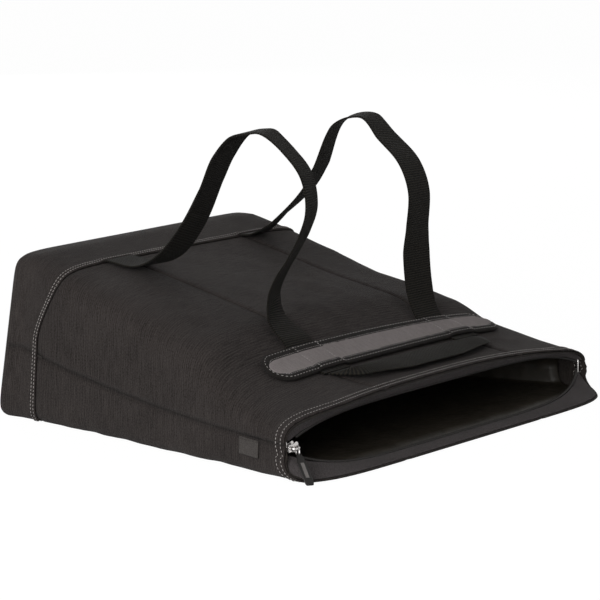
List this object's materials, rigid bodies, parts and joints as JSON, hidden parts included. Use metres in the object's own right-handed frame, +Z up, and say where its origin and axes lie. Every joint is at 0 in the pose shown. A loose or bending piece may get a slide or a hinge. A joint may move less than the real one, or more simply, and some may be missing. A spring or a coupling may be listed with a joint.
{
  "type": "cooler tote bag",
  "caption": "Large soft insulated tote bag lying on its back, with webbing shoulder straps, a padded grab handle and a zipped mouth.",
  "frame": {"origin": "on the flat underside of the bag where its back panel lies on the ground, on the bag's centre line, at the mount base_rest", "axes": "+Z up through the bag as it lies, +Y from the middle towards the bag's base, -Y towards its open zipped mouth, +X to the right when looking along +Y"},
  "size_m": [0.4947, 0.4125, 0.2734],
  "materials": {
    "shell": "tightly woven dark grey-brown polyester, matt with a soft sheen",
    "boot": "heavier matt grey woven fabric",
    "foam": "closed-cell insulating foam",
    "board": "thin stiff plastic sheet",
    "lining": "smooth wipeable welded film",
    "facing": "matt woven facing with a double row of topstitching",
    "piping": "light grey folded edge with a double row of stitching",
    "pad": "smooth knitted light grey face over a thin pad",
    "binding": "ribbed black edge binding, stitched along both edges",
    "webbing": "black ribbed woven webbing",
    "zipper_tape": "grey twill zipper tape",
    "zipper_coil": "moulded nylon coil",
    "zipper_metal": "bright plated metal",
    "puller": "black moulded grip with a grey inset",
    "tag": "small folded woven loop, left blank"
  },
  "bodies": {
    "bag": {"front_left_panel": "shell", "front_center_panel": "shell", "front_right_panel": "shell", "back_left_panel": "shell", "back_center_panel": "shell", "back_right_panel": "shell", "boot_front": "boot", "boot_back": "boot", "boot_end": "boot", "base_foam": "foam", "base_board": "board", "base_liner": "lining", "boot_piping_front": "piping", "boot_piping_left": "piping", "boot_piping_right": "piping", "front_foam": "foam", "back_foam": "foam", "front_liner": "lining", "back_liner": "lining", "mouth_facing_front": "facing", "mouth_facing_back": "facing", "pad": "pad", "pad_binding": "binding", "left_webbing_run": "webbing", "right_webbing_run": "webbing", "front_zipper_tape": "zipper_tape", "front_zipper_coil": "zipper_coil", "back_zipper_tape": "zipper_tape", "back_zipper_coil": "zipper_coil", "near_zipper_stop": "zipper_metal", "far_zipper_stop": "zipper_metal", "side_tag": "tag"},
    "left_strap": {"left_strap": "webbing", "left_strap_rear_leg": "webbing", "left_strap_front_leg": "webbing"},
    "right_strap": {"right_strap": "webbing", "right_strap_rear_leg": "webbing", "right_strap_front_leg": "webbing"},
    "grab_handle": {"grab_handle": "webbing"},
    "zipper_slider": {"zipper_slider": "zipper_metal"},
    "pull_ring": {"pull_ring": "zipper_metal"},
    "puller": {"puller": "puller"}
  },
  "joints": [
    {"name": "left_strap_lean", "type": "hinge", "parent": "bag", "child": "left_strap", "pos_m": [-0.102, 0.10461, 0.14552], "axis": [0, 0.9602, 0.2792], "range_deg": [-50, 28], "deforming": ["left_strap_rear_leg", "left_strap_front_leg"]},
    {"name": "right_strap_lean", "type": "hinge", "parent": "bag", "child": "right_strap", "pos_m": [0.102, 0.10447, 0.14433], "axis": [0, 0.9555, 0.2951], "range_deg": [-28, 50], "deforming": ["right_strap_rear_leg", "right_strap_front_leg"]},
    {"name": "handle_lift", "type": "hinge", "parent": "bag", "child": "grab_handle", "pos_m": [-0.10203, -0.13996, 0.06864], "axis": [-1, 0, 0.0034], "range_deg": [0, 95]},
    {"name": "zipper_travel", "type": "slide", "parent": "bag", "child": "zipper_slider", "axis": [1, 0, 0], "range_m": [0, 0.43]},
    {"name": "ring_swing", "type": "hinge", "parent": "zipper_slider", "child": "pull_ring", "pos_m": [-0.226, -0.1841, 0.027], "axis": [-0.289, -0.3699, 0.8829], "range_deg": [-10, 75]},
    {"name": "puller_swing", "type": "hinge", "parent": "pull_ring", "child": "puller", "pos_m": [-0.23089, -0.19036, 0.02278], "axis": [-0.289, -0.3699, 0.8829], "range_deg": [-35, 35]}
  ]
}
